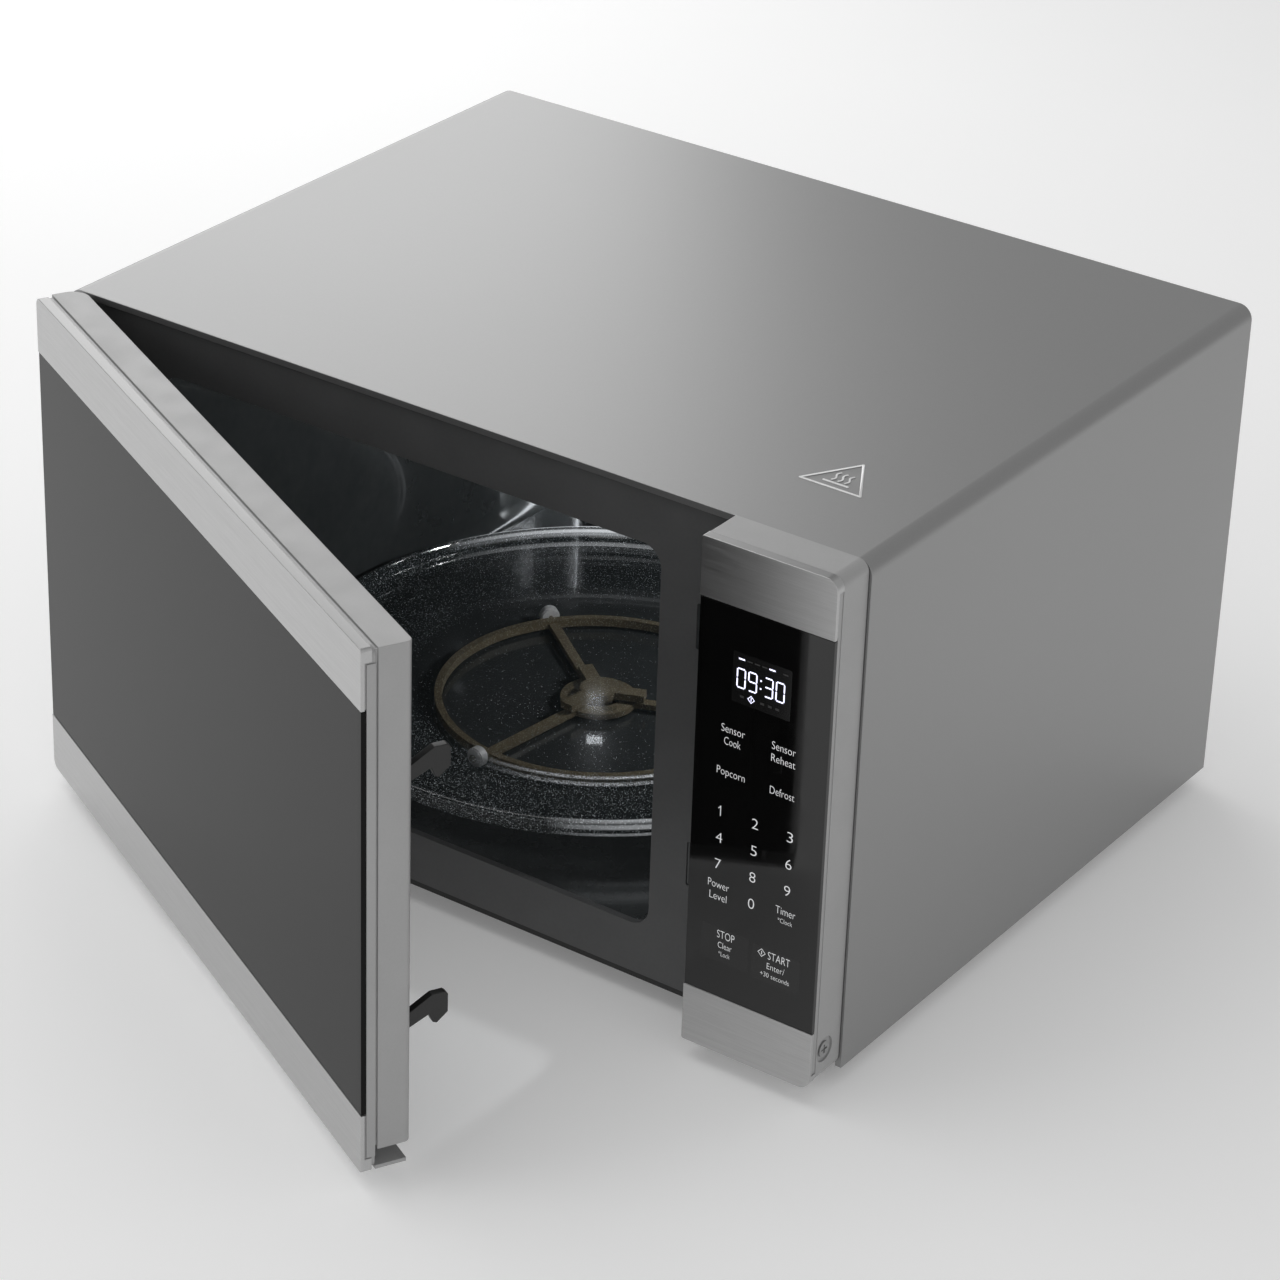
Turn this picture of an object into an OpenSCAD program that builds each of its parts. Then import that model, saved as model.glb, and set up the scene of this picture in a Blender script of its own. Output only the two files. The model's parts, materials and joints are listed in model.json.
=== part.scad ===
// Countertop microwave oven with a left-hung, handle-less door standing partly open.
// +X is to the right, +Y to the back, +Z up. The origin is on the surface that the feet stand on,
// under the middle of the cabinet.

/* [Cabinet] */
// Width of the wrap-around cabinet
cab_w = 606; // [590:1:620]
// Depth of the wrap-around cabinet
cab_d = 455; // [450:1:480]
// Height of the wrap-around cabinet, without the feet
cab_h = 343; // [338:1:350]
// Outer radius of the cabinet's top corners
cab_r = 10; // [6:0.5:14]
// Height of the feet
foot_h = 12; // [10:0.5:16]
// Thickness of the cabinet, liner and base sheets
sheet = 0.8; // [0.6:0.1:1.0]

/* [Door] */
// Width of the door
door_w = 508.5; // [505:0.5:509]
// Thickness of the door
door_t = 31.5; // [30:0.5:32]
// Angle at which the door stands open, in degrees
door_open = 27.5; // [0:0.5:100]
// Height of the steel strip along the top of the door and panel
top_strip_h = 38.5; // [30:0.5:45]
// Height of the steel strip along the bottom of the door and panel
low_strip_h = 39.5; // [30:0.5:45]

/* [Control panel] */
// Width of the control panel
panel_w = 92.5; // [91:0.5:93]

/* [Oven] */
// Inside width of the cooking cavity
cav_w = 426; // [420:1:430]
// Inside height of the cooking cavity
cav_h = 273; // [265:1:275]
// Radius of the glass tray
tray_r = 205; // [195:1:206]
// Radius of the circle on which the rollers run
track_r = 117; // [105:1:125]

/* [Hidden] */
$fn = 96;

eps = 0.01;                          // overlap that joins or cuts cleanly
past = 1;                            // how far a cutter runs past a face

// Cabinet planes
side_x = cab_w / 2;
front_y = -cab_d / 2;
back_y = cab_d / 2;
low_z = foot_h;
top_z = foot_h + cab_h;
hem = 4.5;                           // return lip along the cabinet's front edge

// Front of the door and panel
wall_gap = 2;                        // from the door's back to the cabinet's front edge
face_back_y = front_y - wall_gap;
face_y = face_back_y - door_t;
face_z0 = low_z + 1;
face_z1 = top_z + 1;
low_strip_z = face_z0 + low_strip_h;
top_strip_z = face_z1 - top_strip_h;
strip_fold = 7;                      // how far a strip folds back over the top or bottom
end_fold = 2.6;                      // how far a strip folds back round its ends
glass_t = 3.2;
glass_recess = 0.4;                  // glass lies this far behind the strips' faces
seam = 0.3;                          // visual gap between glass and strips

// Control panel
panel_x1 = side_x - 1.5;
panel_x0 = panel_x1 - panel_w;
panel_mid = (panel_x0 + panel_x1) / 2;
panel_back_y = front_y - 0.6;
panel_r = 8;
panel_left_r = 1.5;
panel_wall = 2.5;

// Door, in its closed place
door_x0 = -side_x + 1;
door_x1 = door_x0 + door_w;
door_r = 6;
hinge_x = door_x0 + 12;
hinge_y = face_y + door_t / 2 - 0.25;
pin_r = 3;
pin_gap = 0.06;                      // running clearance of the hinge pins
arm_w = 12;                          // width of a hinge arm
upper_arm_z = face_z1 - 18;
lower_arm_z = face_z0 + 28;
arm_t = 3;
cover_wall = 2.2;
cover_z0 = face_z0 + 14;             // open grip channel below the cover
cover_z1 = face_z1 - 0.6;
frame_y0 = face_y + glass_recess + glass_t + eps;
frame_y1 = face_y + 9;
cover_y0 = frame_y1 + 1.5;
window = [-214, 142, 67, 302];       // see-through part: x0, x1, z0, z1
plateau_y = front_y + 1.8;           // raised ring on the door's back
latch_x = door_x1 - 11.5;
hook_zs = [97, 260];                 // feet of the two hooks
hook_h = 20;                         // height of a hook
latch_travel = 4;                    // how far the latch key slides up

// Cavity
cav_mid_x = -36;
cav_x0 = cav_mid_x - cav_w / 2;
cav_x1 = cav_mid_x + cav_w / 2;
floor_z = 47;
ceil_z = floor_z + cav_h;
plate_y = front_y + 3;               // front face of the cavity's front plate
plate_back_y = plate_y + sheet;
cav_back_y = back_y - 21.5;
turn_y = (plate_back_y + cav_back_y) / 2;    // turntable's axis, mid-depth in the cavity
mouth = [-229, 157, 52, 315];        // opening in the front plate: x0, x1, z0, z1

// Turntable
wheel_r = 6.8;
wheel_w = 7;
axle_r = 1.5;
wheel_z = floor_z + 0.2 + wheel_r;
tray_z = wheel_z + wheel_r + 0.2;    // underside of the tray
tray_t = 4.5;
tray_base_r = 128;                   // flat part of the tray's upper side
tray_lip_z = tray_z + 17;
roller_angles = [143, 263, 23];
shaft_r = 3.5;

// Electrical compartment on the right
bay_x0 = cav_x1 + sheet;
bay_mid_x = (bay_x0 + side_x) / 2;
guide_x1 = bay_x0 + 30;              // outer face of the waveguide
mag_z = 193;
fan_r = 50;
fan_depth = 30;
fan_y0 = back_y - sheet - fan_depth;

// ---------- helpers ----------

// Box between two corners
module block(x0, x1, y0, y1, z0, z1) {
  translate([x0, y0, z0]) cube([x1 - x0, y1 - y0, z1 - z0]);
}

// Rectangle with its own radius at each corner: lower left, lower right, upper right, upper left
module rounded(x0, x1, y0, y1, r) {
  corners = [[x0, y0, 1, 1], [x1, y0, -1, 1], [x1, y1, -1, -1], [x0, y1, 1, -1]];
  difference() {
    translate([x0, y0]) square([x1 - x0, y1 - y0]);
    for (i = [0:3]) if (r[i] > 0) {
      c = corners[i];
      mid = (r[i] - past) / 2;
      difference() {
        translate([c[0] + c[2] * mid, c[1] + c[3] * mid]) square(r[i] + past, center = true);
        translate([c[0] + c[2] * r[i], c[1] + c[3] * r[i]]) circle(r[i]);
      }
    }
  }
}

// Rectangle with one radius, given as [x0, x1, y0, y1], grown by g all round
module pane(b, r, g = 0) {
  rounded(b[0] - g, b[1] + g, b[2] - g, b[3] + g, [r, r, r, r]);
}

// Extrudes an outline drawn as (x, z) from y0 to y1
module slab(y0, y1) {
  translate([0, y1, 0]) rotate([90, 0, 0]) linear_extrude(y1 - y0) children();
}

// Extrudes an outline drawn as (y, z) from x0 to x1
module plank(x0, x1) {
  translate([x0, 0, 0]) rotate([90, 0, 90]) linear_extrude(x1 - x0) children();
}

// Extrudes an outline drawn as (x, y) from z0 to z1
module deck(z0, z1) {
  translate([0, 0, z0]) linear_extrude(z1 - z0) children();
}

// Round bar along Y
module rod_y(x, z, r, y0, y1) {
  translate([x, y1, z]) rotate([90, 0, 0]) cylinder(h = y1 - y0, r = r);
}

// Round bar along X
module rod_x(y, z, r, x0, x1) {
  translate([x0, y, z]) rotate([0, 90, 0]) cylinder(h = x1 - x0, r = r);
}

// Flat line with round ends between two points
module stroke(a, b, w) {
  run = b - a;
  translate(a) rotate(atan2(run[1], run[0])) {
    translate([0, -w / 2]) square([norm(run), w]);
    circle(d = w);
    translate([norm(run), 0]) circle(d = w);
  }
}

// Holds what is drawn in the door's closed place at the angle where the door stands
module on_door() {
  translate([hinge_x, hinge_y, 0]) rotate([0, 0, -door_open])
    translate([-hinge_x, -hinge_y, 0]) children();
}

// Holds what is drawn round the Z axis at the turntable's axis
module on_turntable() {
  translate([cav_mid_x, turn_y, 0]) children();
}

// ---------- casing ----------

// Raised pictogram of rising heat in a triangle
module heat_mark() {
  base = 42;
  tall = base * sqrt(3) / 2;
  line = 1.5;
  corners = [[-base / 2, 0], [base / 2, 0], [0, tall]];
  for (i = [0:2]) stroke(corners[i], corners[(i + 1) % 3], line);
  stroke([-base / 5, 6], [base / 5, 6], line);
  for (k = [-1:1])
    for (s = [0:11])
      stroke([4.6 * k + sin(s * 30), 9 + s * 0.85], [4.6 * k + sin((s + 1) * 30), 9.85 + s * 0.85], 1.2);
}

module outer_cabinet() {
  color([0.70, 0.70, 0.70]) {
    slab(front_y, back_y) difference() {
      rounded(-side_x, side_x, low_z, top_z, [0, 0, cab_r, cab_r]);
      rounded(-side_x + sheet, side_x - sheet, low_z - past, top_z - sheet,
              [0, 0, cab_r - sheet, cab_r - sheet]);
    }
    slab(front_y, front_y + sheet) difference() {
      rounded(-side_x, side_x, low_z, top_z, [0, 0, cab_r, cab_r]);
      rounded(-side_x + hem, side_x - hem, low_z - past, top_z - hem,
              [0, 0, cab_r - hem, cab_r - hem]);
    }
    for (s = [-1, 1]) {
      edge = s * (side_x - sheet);
      block(min(edge, edge - s * 11), max(edge, edge - s * 11), front_y + 8, back_y - 12,
            low_z, low_z + sheet);
    }
    translate([232, front_y + 64.5, 0]) deck(top_z - eps, top_z + 0.45) heat_mark();
  }
}

module rear_panel() {
  inner = side_x - sheet - 0.1;
  roof = top_z - sheet - 0.1;
  r = cab_r - sheet;
  color([0.62, 0.63, 0.64]) difference() {
    union() {
      slab(back_y - sheet, back_y) rounded(-inner, inner, low_z + sheet, roof, [0, 0, r, r]);
      slab(back_y - 11, back_y - sheet) difference() {
        rounded(-inner, inner, low_z + sheet, roof, [0, 0, r, r]);
        rounded(-inner + sheet, inner - sheet, low_z, roof - sheet, [0, 0, r - sheet, r - sheet]);
      }
    }
    for (row = [0:9]) for (col = [0:2])
      slab(back_y - 2, back_y + past) translate([196 + col * 33, 142 + row * 10])
        stroke([0, 0], [24, 0], 4);
    for (row = [0:6]) for (col = [0:1])
      slab(back_y - 2, back_y + past) translate([-286 + col * 33, 250 + row * 10])
        stroke([0, 0], [24, 0], 4);
    rod_y(262, 60, 8.1, back_y - 2, back_y + past);
  }
}

module wall_spacers() {
  color([0.12, 0.12, 0.12]) for (s = [-1, 1]) translate([s * 190, back_y, 292])
    rotate([-90, 0, 0]) difference() {
      cylinder(h = 12, r1 = 15, r2 = 12);
      translate([0, 0, 9]) cylinder(h = 4, r = 7);
    }
}

// Grommet that the mains lead passes through
module cord_bushing() {
  color([0.08, 0.08, 0.08]) difference() {
    union() {
      rod_y(262, 60, 12, back_y, back_y + 3);
      rod_y(262, 60, 8, back_y - 9, back_y);
      rod_y(262, 60, 9.5, back_y - 9, back_y - 6);
    }
    rod_y(262, 60, 4.2, back_y - 10, back_y + 4);
  }
}

pan = [-200, 200, -140, 140];        // drawn pan in the base: x0, x1, y0, y1
pan_z = 4.5;                         // height of its underside above the feet's soles

module base_plate() {
  inner = side_x - sheet - 0.1;
  z0 = low_z + sheet;
  y1 = back_y - 11.5;
  color([0.16, 0.16, 0.17]) difference() {
    union() {
      deck(z0, z0 + sheet) rounded(-inner, inner, plate_back_y, y1, [2, 2, 2, 2]);
      deck(pan_z, z0) pane(pan, 20);
      slab(plate_back_y, plate_back_y + sheet) rounded(-inner, inner, z0, z0 + 12, [0, 0, 0, 0]);
      slab(y1 - sheet, y1) rounded(-inner, inner, z0, z0 + 12, [0, 0, 0, 0]);
    }
    deck(pan_z + sheet, z0 + past + sheet) pane(pan, 20 - sheet, -sheet);
    for (row = [0:7]) for (col = [0:1])
      deck(z0 - past, z0 + past + sheet) translate([222 + col * 32, -150 + row * 12])
        stroke([0, 0], [22, 0], 4.5);
    for (row = [0:5])
      deck(z0 - past, z0 + past + sheet) translate([-268, -60 + row * 12])
        stroke([0, 0], [40, 0], 4.5);
  }
}

module feet() {
  color([0.07, 0.07, 0.07]) for (sx = [-1, 1]) for (sy = [-1, 1])
    translate([sx * 255, sy * 182, 0]) difference() {
      union() {
        cylinder(h = 4, r1 = 13, r2 = 15);
        translate([0, 0, 4]) cylinder(h = low_z + sheet - 4, r = 15);
      }
      translate([0, 0, -past]) cylinder(h = 3 + past, r = 6);
    }
}

// ---------- cavity ----------

floor_x = [cav_x0 + 12, cav_x1 - 12];    // flat part of the floor, between the liner's rounded corners

module cavity_floor() {
  color([0.12, 0.13, 0.14]) difference() {
    block(floor_x[0], floor_x[1], plate_back_y + sheet, cav_back_y, floor_z - sheet, floor_z);
    on_turntable() translate([0, 0, floor_z - 3]) cylinder(h = 5, r = 8);
  }
}

module cavity_liner() {
  inside = [cav_x0, cav_x1, floor_z, ceil_z];
  color([0.12, 0.13, 0.14]) difference() {
    union() {
      slab(plate_back_y, cav_back_y + sheet) pane(inside, 12 + sheet, sheet);
      slab(plate_back_y, plate_back_y + sheet) pane(inside, 18, 8);
    }
    slab(plate_back_y - past, cav_back_y) pane(inside, 12);
    plank(cav_x1 - past, cav_x1 + 3) rounded(-45, 45, mag_z - 32, mag_z + 32, [4, 4, 4, 4]);
    block(floor_x[0], floor_x[1], plate_back_y + sheet, cav_back_y, floor_z - past, floor_z + past);
    for (row = [0:4]) for (col = [0:7])
      rod_x(110 + col * 8, 262 + row * 8, 1.8, cav_x1 - past, cav_x1 + 3);
    for (row = [0:5]) for (col = [0:9])
      rod_x(60 + col * 8, 240 + row * 8, 1.8, cav_x0 - 3, cav_x0 + past);
  }
}

module front_plate() {
  x1 = side_x - 3.5;
  z1 = top_z - hem + 0.5;
  outline = [-x1, x1, low_z + 5, z1];
  color([0.26, 0.26, 0.27]) difference() {
    union() {
      slab(plate_y, plate_back_y) pane(outline, 4);
      slab(plate_back_y, plate_back_y + 4) pane(mouth, 14 + sheet, sheet);
      slab(plate_back_y - eps, plate_back_y + 12) intersection() {
        difference() {
          pane(outline, 4);
          pane(outline, 4, -sheet);
        }
        translate([-cab_w, low_z + 60]) square([2 * cab_w, cab_h]);
      }
    }
    slab(plate_y - past, plate_back_y + 5) pane(mouth, 14);
    for (z = hook_zs)
      slab(plate_y - past, plate_back_y + past)
        pane([latch_x - 11.5, latch_x + 8, z - 3, z + hook_h + latch_travel + 4], 1.5);
  }
}

// Mica sheet over the microwave port in the cavity's right wall
module waveguide_cover() {
  color([0.72, 0.66, 0.52]) plank(cav_x1 - 0.8, cav_x1)
    rounded(-58, 58, mag_z - 42, mag_z + 42, [8, 8, 8, 8]);
}

module waveguide() {
  color([0.66, 0.67, 0.68]) difference() {
    block(bay_x0, guide_x1, -62, 62, mag_z - 45, mag_z + 45);
    block(bay_x0 - past, guide_x1 - 1.2, -60.8, 60.8, mag_z - 43.8, mag_z + 43.8);
    rod_x(0, mag_z, 13, guide_x1 - 3, guide_x1 + past);
  }
}

// ---------- microwave generator ----------

mag_x0 = guide_x1;
mag_len = 56;

module magnetron_yoke() {
  x1 = mag_x0 + mag_len;
  color([0.60, 0.61, 0.62]) difference() {
    block(mag_x0, x1, -44, 44, mag_z - 38, mag_z + 38);
    block(mag_x0 + 1.5, x1 - 1.5, -50, 50, mag_z - 36.5, mag_z + 36.5);
    rod_x(0, mag_z, 12, mag_x0 - past, mag_x0 + 3);
    rod_x(0, mag_z, 14, x1 - 3, x1 + past);
  }
}

module magnetron_tube() {
  color([0.70, 0.45, 0.30]) {
    rod_x(0, mag_z, 19, mag_x0 + 16, mag_x0 + mag_len - 16);
    rod_x(0, mag_z, 11, mag_x0 + 1, mag_x0 + 16);
    rod_x(0, mag_z, 11, mag_x0 + mag_len - 16, mag_x0 + mag_len);
    rod_x(0, mag_z, 7.5, mag_x0 - 22, mag_x0 + 1);
  }
}

module magnetron_fins() {
  color([0.78, 0.79, 0.80]) difference() {
    for (i = [0:4]) {
      x = mag_x0 + 17 + i * 5.2;
      block(x, x + 0.8, -40, 40, mag_z - 34, mag_z + 34);
    }
    rod_x(0, mag_z, 19.05, mag_x0, mag_x0 + mag_len);
  }
}

module magnetron_filter_box() {
  x0 = mag_x0 + mag_len;
  color([0.64, 0.65, 0.66]) difference() {
    block(x0, x0 + 26, -30, 30, mag_z - 24, mag_z + 24);
    block(x0 + 1, x0 + 25, -29, 29, mag_z - 23, mag_z + 23);
  }
}

board_z = 44;                        // height of the inverter board
board_x0 = bay_x0 + 10;
board_x1 = side_x - 8;

module inverter_board() {
  color([0.12, 0.35, 0.18]) {
    difference() {
      block(board_x0, board_x1, -190, -50, board_z, board_z + 1.6);
      for (x = [board_x0 + 5, board_x1 - 5]) for (y = [-185, -55])
        translate([x, y, board_z - past]) cylinder(h = 4, r = 2);
    }
    for (x = [board_x0 + 5, board_x1 - 5]) for (y = [-185, -55])
      translate([x, y, low_z + 2 * sheet]) difference() {
        cylinder(h = board_z - low_z - 2 * sheet, r = 4);
        translate([0, 0, 10]) cylinder(h = board_z, r = 1.4);
      }
  }
}

module inverter_transformer() {
  x = board_x0 + 33;
  z = board_z + 1.6;
  color([0.22, 0.20, 0.18]) {
    difference() {
      block(x - 26, x + 26, -150, -90, z, z + 44);
      block(x - 16, x + 16, -151, -89, z + 10, z + 34);
    }
    rod_y(x, z + 22, 12, -148, -92);
  }
}

module inverter_heat_sink() {
  x = board_x1 - 26;
  z = board_z + 1.6;
  color([0.72, 0.73, 0.75]) {
    block(x - 2, x + 2, -165, -80, z, z + 42);
    for (i = [0:5]) block(x + 2 - eps, x + 16, -164 + i * 16.5, -162 + i * 16.5, z + 4, z + 42);
  }
}

module inverter_capacitors() {
  z = board_z + 1.6;
  color([0.10, 0.10, 0.35]) for (i = [0:2])
    translate([board_x0 + 16 + i * 24, -68, z]) cylinder(h = 28 - 4 * i, r = 9);
}

module noise_filter_board() {
  x = bay_x0 + 12;
  color([0.55, 0.40, 0.20]) {
    block(x, x + 60, 120, 168, low_z + 20, low_z + 21.6);
    block(x + 6, x + 28, 126, 148, low_z + 21.6, low_z + 44);
    translate([x + 44, 150, low_z + 21.6]) cylinder(h = 20, r = 10);
    for (sx = [x + 4, x + 56]) translate([sx, 160, low_z + 2 * sheet])
      cylinder(h = 20 - 2 * sheet, r = 3);
  }
}

// ---------- cooling fan ----------

module fan_housing() {
  half = 56;
  y1 = fan_y0 + fan_depth;
  color([0.80, 0.80, 0.78]) difference() {
    slab(fan_y0, y1) pane([bay_mid_x - half, bay_mid_x + half, mag_z - half, mag_z + half], 6);
    rod_y(bay_mid_x, mag_z, fan_r + 3, fan_y0 - past, y1 + past);
  }
}

module fan_motor() {
  y1 = fan_y0 - 4;
  y0 = y1 - 26;
  color([0.45, 0.46, 0.48]) difference() {
    union() {
      slab(y0 + 6, y1 - 6) pane([bay_mid_x - 30, bay_mid_x + 30, mag_z - 28, mag_z + 28], 3);
      rod_y(bay_mid_x, mag_z, 17, y0, y1);
      for (a = [45:90:315]) {
        ax = bay_mid_x + 56 * cos(a);
        az = mag_z + 56 * sin(a);
        slab(y1 - 8, y1 - 6) stroke([bay_mid_x, mag_z], [ax, az], 7);
        rod_y(ax, az, 4, y1 - 8, fan_y0);
      }
    }
    rod_y(bay_mid_x, mag_z, pin_r + 0.05, y0 - past, y1 + past);
  }
}

module fan_shaft() {
  color([0.75, 0.76, 0.78]) rod_y(bay_mid_x, mag_z, pin_r, fan_y0 - 28, fan_y0 + 22);
}

module fan_blade() {
  y_mid = fan_y0 + 13;
  color([0.30, 0.32, 0.34]) translate([bay_mid_x, y_mid, mag_z]) rotate([90, 0, 0])
    difference() {
      union() {
        translate([0, 0, -9]) cylinder(h = 18, r = 15);
        intersection() {
          for (i = [0:6]) rotate(i * 360 / 7) translate([fan_r / 2 + 5, 0, 0]) rotate([34, 0, 0])
            cube([fan_r, 24, 1.6], center = true);
          translate([0, 0, -9]) cylinder(h = 18, r = fan_r);
        }
      }
      translate([0, 0, -20]) cylinder(h = 40, r = pin_r);
    }
}

// Duct that leads the cooling air from the fan to the magnetron
module air_guide() {
  half = 58;
  color([0.82, 0.82, 0.80]) difference() {
    block(bay_mid_x - half, bay_mid_x + half, 64, fan_y0, mag_z - half, mag_z + half);
    block(bay_mid_x - half + 1.5, bay_mid_x + half - 1.5, 63, fan_y0 + past,
          mag_z - half + 1.5, mag_z + half - 1.5);
  }
}

module cavity_lamp() {
  x = bay_x0;
  y = 138;
  z = 280;
  color([0.90, 0.90, 0.85]) {
    block(x, x + 3, y - 34, y + 34, z - 20, z + 24);
    rod_x(y, z, 14, x + 3, x + 20);
    rod_x(y, z, 9, x + 20, x + 44);
  }
}

module thermal_cutout() {
  color([0.85, 0.82, 0.75]) {
    translate([cav_mid_x + 110, 120, ceil_z + sheet]) cylinder(h = 8, r = 9);
    translate([cav_mid_x + 110, 120, ceil_z + sheet]) cylinder(h = 1.2, r = 14);
    block(cav_mid_x + 104, cav_mid_x + 105, 117, 123, ceil_z + sheet + 8, ceil_z + sheet + 16);
    block(cav_mid_x + 115, cav_mid_x + 116, 117, 123, ceil_z + sheet + 8, ceil_z + sheet + 16);
  }
}

module humidity_sensor() {
  x = cav_x0 - sheet;
  color([0.92, 0.92, 0.90]) {
    block(x - 3, x, 80, 116, 242, 274);
    rod_x(98, 258, 8, x - 15, x - 3);
  }
}

// ---------- turntable ----------

module turntable_motor() {
  top = floor_z - sheet;
  color([0.80, 0.80, 0.78]) on_turntable() difference() {
    union() {
      translate([0, 0, top - 16]) cylinder(h = 16, r = 24.5);
      for (s = [-1, 1]) deck(top - 1.2, top) stroke([0, 0], [s * 32, 0], 12);
      block(-12, 12, -34, -20, top - 14, top - 3);
    }
    translate([0, 0, top - 9]) cylinder(h = 12, r = shaft_r + 0.05);
  }
}

module turntable_shaft() {
  color([0.72, 0.73, 0.75]) on_turntable() translate([0, 0, floor_z - 9])
    cylinder(h = 19, r = shaft_r);
}

// Three-armed coupler that carries the tray round
module drive_coupler() {
  arm_z = floor_z + 8;
  color([0.62, 0.56, 0.44]) on_turntable() difference() {
    union() {
      deck(floor_z + 1.5, arm_z + eps) circle(11);
      deck(arm_z, tray_z - 0.8) {
        circle(13);
        for (a = roller_angles) rotate(a) translate([0, -5]) square([32, 10]);
      }
    }
    translate([0, 0, floor_z - past]) cylinder(h = 11 + past, r = shaft_r);
  }
}

ring_in = track_r - 11;
ring_out = track_r - 6;

module roller_ring() {
  color([0.58, 0.50, 0.36]) on_turntable() {
    deck(floor_z + 2.5, floor_z + 8.5) difference() {
      circle(ring_out);
      circle(ring_in);
    }
    deck(floor_z + 2.5, floor_z + 6.5) difference() {
      union() {
        circle(26);
        for (a = roller_angles) rotate(a) translate([0, -3.5]) square([ring_in + 2, 7]);
      }
      circle(15);
    }
    for (a = roller_angles) rotate(a) {
      rod_x(0, wheel_z, axle_r, ring_out - 1, track_r + 5.5);
      rod_x(0, wheel_z, 2.6, track_r + wheel_w / 2 + 0.5, track_r + 5.5);
    }
  }
}

// One wheel on its own radial axle
module roller(a) {
  color([0.94, 0.94, 0.92]) on_turntable() rotate(a) difference() {
    union() {
      rod_x(0, wheel_z, wheel_r, track_r - wheel_w / 2 + 1, track_r + wheel_w / 2 - 1);
      rod_x(0, wheel_z, wheel_r - 0.8, track_r - wheel_w / 2, track_r + wheel_w / 2);
    }
    rod_x(0, wheel_z, axle_r + 0.06, track_r - wheel_w, track_r + wheel_w);
  }
}

function arc(c, r, a0, a1, n) = [for (i = [0:n]) let (a = a0 + (a1 - a0) * i / n) c + r * [cos(a), sin(a)]];

module glass_tray() {
  top = tray_z + tray_t;
  rim_r = 2.2;
  rim = [tray_r - rim_r, tray_lip_z - rim_r];
  heel = [tray_r - 9, tray_z + 6];
  foot = [tray_r - 13, top + 9];
  color([0.62, 0.70, 0.72, 0.45]) on_turntable() {
    rotate_extrude($fn = 180) polygon(concat(
      [[0, tray_z], [tray_base_r + 22, tray_z], [tray_r - 12, tray_z + 1.2]],
      arc(heel, 4.8, -80, -10, 5),
      arc(rim, rim_r, -5, 175, 10),
      arc(foot, 6, -15, -80, 5),
      [[tray_base_r + 6, top + 0.8], [tray_base_r, top], [0, top]]));
    for (a = roller_angles) rotate(a + 60) translate([24, 0, tray_z - 3.5])
      cylinder(h = 4, r = 5);
  }
}

// ---------- door interlock ----------

lock_y = plate_back_y;
lever_pivot = [lock_y + 26, 196];    // y, z
lever_len = 88;                      // from the pivot down to the toe that the lower hook meets

module interlock_bracket() {
  x0 = latch_x - 10;
  x1 = latch_x + 34;
  color([0.88, 0.88, 0.84]) {
    difference() {
      block(x0, x1, lock_y, lock_y + 3, hook_zs[0] - 14, hook_zs[1] + 40);
      for (z = hook_zs) block(x0 - past, latch_x + 9, lock_y - past, lock_y + 5, z - 4, z + hook_h + 9);
    }
    block(x1 - 3, x1, lock_y, lock_y + 36, hook_zs[0] - 14, hook_zs[1] + 40);
    difference() {
      plank(latch_x + 14, latch_x + 17)
        stroke([lock_y + 3, lever_pivot[1]], [lever_pivot[0], lever_pivot[1]], 12);
      block(latch_x + 13, latch_x + 18, lock_y - 10, lock_y + 1, 180, 210);
      rod_x(lever_pivot[0], lever_pivot[1], 2.06, latch_x + 10, latch_x + 22);
    }
  }
}

module interlock_switches() {
  color([0.10, 0.10, 0.11]) for (z = [hook_zs[0] + 44, 160, hook_zs[1] - 30])
    block(latch_x + 19, latch_x + 31, lock_y + 10, lock_y + 30, z - 7, z + 8);
}

// Lever between the lower hook and the switches
module interlock_lever() {
  y = lever_pivot[0];
  z = lever_pivot[1];
  color([0.85, 0.85, 0.80]) {
    plank(latch_x + 10.5, latch_x + 13.5) {
      stroke([y, z], [y, z - lever_len], 6);
      stroke([y, z], [y + 8, z + 8], 5);
      translate([y, z]) circle(5);
    }
    rod_x(y, z, 2, latch_x + 13.5 - eps, latch_x + 18);
    rod_x(y, z - lever_len, 2.2, latch_x - 3, latch_x + 10.5 + eps);
  }
}

// ---------- hinges ----------

// Arm from the front plate to a hinge pin, with a foot screwed to the plate
module hinge(arm_z, foot_dir, pin_z0, pin_z1) {
  foot = 26;
  color([0.55, 0.56, 0.58]) {
    deck(arm_z, arm_z + arm_t) {
      translate([hinge_x - arm_w / 2, hinge_y]) square([arm_w, plate_y - hinge_y]);
      translate([hinge_x, hinge_y]) circle(arm_w / 2);
    }
    z0 = foot_dir < 0 ? arm_z - foot : arm_z;
    z1 = foot_dir < 0 ? arm_z + arm_t : arm_z + arm_t + foot;
    slab(plate_y - 2, plate_y) pane([hinge_x - arm_w / 2, hinge_x + arm_w / 2 + 8, z0, z1], 2);
    translate([hinge_x, hinge_y, pin_z0]) cylinder(h = pin_z1 - pin_z0, r = pin_r);
  }
}

upper_pin_z = upper_arm_z + arm_t + 10;
lower_pin_z = lower_arm_z - 10.5;

module upper_hinge() {
  hinge(upper_arm_z, -1, upper_arm_z, upper_pin_z);
}

module lower_hinge() {
  hinge(lower_arm_z, 1, lower_pin_z, lower_arm_z + arm_t);
}

module hinge_screws() {
  color([0.50, 0.50, 0.52]) for (z = [upper_arm_z - 9, upper_arm_z - 20,
                                      lower_arm_z + arm_t + 9, lower_arm_z + arm_t + 20])
    difference() {
      rod_y(hinge_x + 6, z, 3.2, plate_y - 3.4, plate_y - 2);
      slab(plate_y - 4, plate_y - 2.8) {
        translate([hinge_x + 6, z]) square([4, 0.9], center = true);
        translate([hinge_x + 6, z]) square([0.9, 4], center = true);
      }
    }
}

// ---------- door ----------

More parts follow.
